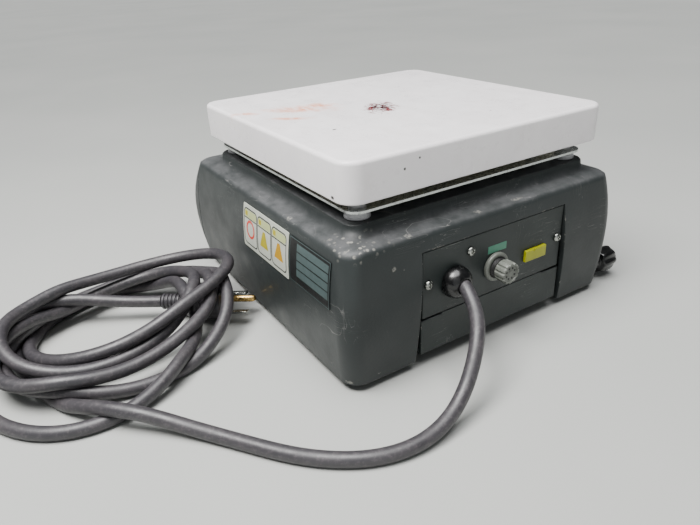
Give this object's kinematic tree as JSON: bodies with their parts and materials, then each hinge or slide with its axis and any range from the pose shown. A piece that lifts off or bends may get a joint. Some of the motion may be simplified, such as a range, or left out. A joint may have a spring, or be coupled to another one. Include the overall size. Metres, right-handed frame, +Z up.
{
  "type": "laboratory hot plate",
  "caption": "Square-topped bench hot plate on a bowed grey housing with a rear fuse, side clamp screw, front controls and a coiled mains cord with plug.",
  "frame": {"origin": "middle of the resting face, below the centre of the object without its free cord", "axes": "+Z up, -Y towards the control panel, +Y towards the mains inlet and fuse, +X towards the side with the labels"},
  "size_m": [0.4187, 0.2955, 0.1275],
  "materials": {
    "enamel": "white glossy vitreous enamel, faintly yellowed and stained by use",
    "housing_paint": "grey satin powder coat with fine texture, scuffed at the corners",
    "panel_paint": "dark grey textured powder coat on sheet steel",
    "steel": "bare pressed steel, slightly heat tinted",
    "plated_steel": "bright nickel plate",
    "brass": "plain brass",
    "black_gloss": "glossy black moulded plastic",
    "black_matte": "matte black moulded plastic",
    "grey_plastic": "light grey moulded plastic",
    "cord_jacket": "grey flexible jacket with a dull sheen",
    "foot_rubber": "black matte rubber",
    "mineral_pad": "pressed mineral fibre",
    "copper": "lacquered copper winding",
    "circuit_board": "green solder mask with parts",
    "ceramic": "unglazed steatite",
    "aluminium": "plain extruded aluminium",
    "tag_yellow": "yellow printed plastic",
    "label_white": "laminated white label film, blank cells",
    "label_black": "black anodised foil with blank silver rows",
    "lens_red": "translucent red lens"
  },
  "bodies": {
    "root": {"top_plate": "enamel", "heater_element": "steel", "heater_clamp_plate": "steel", "insulation_pad": "mineral_pad", "plate_sensor": "steel", "heat_shield": "steel", "housing": "housing_paint", "front_bezel": "housing_paint", "control_panel": "black_matte", "thermostat_body": "ceramic", "lamp_lens": "lens_red", "switch_body": "black_matte", "rear_panel": "panel_paint", "earth_terminal": "brass", "cable_gland": "black_gloss", "fuse_holder": "black_matte", "fuse_nut": "grey_plastic", "fuse_tag": "tag_yellow", "safety_label": "label_white", "data_plate": "label_black", "base_plate": "panel_paint", "transformer": "copper", "control_board": "circuit_board", "heat_sink": "aluminium", "terminal_block": "ceramic", "overheat_cutout": "black_matte", "cord_coil": "cord_jacket", "cord_lead": "cord_jacket", "cord_tail": "cord_jacket", "plug_body": "cord_jacket", "plug_blade_1": "plated_steel", "plug_blade_2": "plated_steel", "plug_ground_pin": "brass", "standoff_1": "ceramic", "tie_screw_1": "steel", "foot_1": "foot_rubber", "foot_screw_1": "steel", "standoff_2": "ceramic", "tie_screw_2": "steel", "foot_2": "foot_rubber", "foot_screw_2": "steel", "standoff_3": "ceramic", "tie_screw_3": "steel", "foot_3": "foot_rubber", "foot_screw_3": "steel", "standoff_4": "ceramic", "tie_screw_4": "steel", "foot_4": "foot_rubber", "foot_screw_4": "steel", "rear_screw_1": "plated_steel", "rear_screw_2": "plated_steel", "rear_screw_3": "plated_steel"},
    "control_knob": {"temperature_knob": "black_gloss", "thermostat_shaft": "steel"},
    "rocker": {"power_rocker": "black_gloss"},
    "fuse_carrier": {"fuse_link": "grey_plastic"},
    "fuse_top": {"fuse_cap": "grey_plastic"},
    "clamp_tip": {"clamp_pad": "brass"},
    "clamp_spindle": {"clamp_screw": "plated_steel", "clamp_knob": "black_gloss"}
  },
  "joints": [
    {"name": "knob_turn", "type": "hinge", "parent": "root", "child": "control_knob", "pos_m": [0.04933, -0.11515, 0.042], "axis": [0, -1, 0], "range_deg": [-300, 0]},
    {"name": "rocker_tilt", "type": "hinge", "parent": "root", "child": "rocker", "pos_m": [-0.03067, -0.11045, 0.042], "axis": [1, 0, 0], "range_deg": [0, 20]},
    {"name": "fuse_pull", "type": "slide", "parent": "root", "child": "fuse_carrier", "axis": [0, 1, 0], "range_m": [0, 0.04]},
    {"name": "fuse_cap_turn", "type": "hinge", "parent": "fuse_carrier", "child": "fuse_top", "pos_m": [0.01253, 0.11985, 0.049], "axis": [0, 1, 0], "range_deg": [0, 90]},
    {"name": "clamp_travel", "type": "slide", "parent": "root", "child": "clamp_tip", "axis": [-1, 0, 0], "range_m": [0, 0.003]},
    {"name": "clamp_turn", "type": "hinge", "parent": "clamp_tip", "child": "clamp_spindle", "pos_m": [-0.09177, 0.10135, 0.0118], "axis": [-1, 0, 0], "range_deg": [0, 1080]}
  ],
  "couplings": [
    {"joint": "clamp_travel", "follows": "clamp_turn", "m_per_rad": 0.00015915}
  ]
}
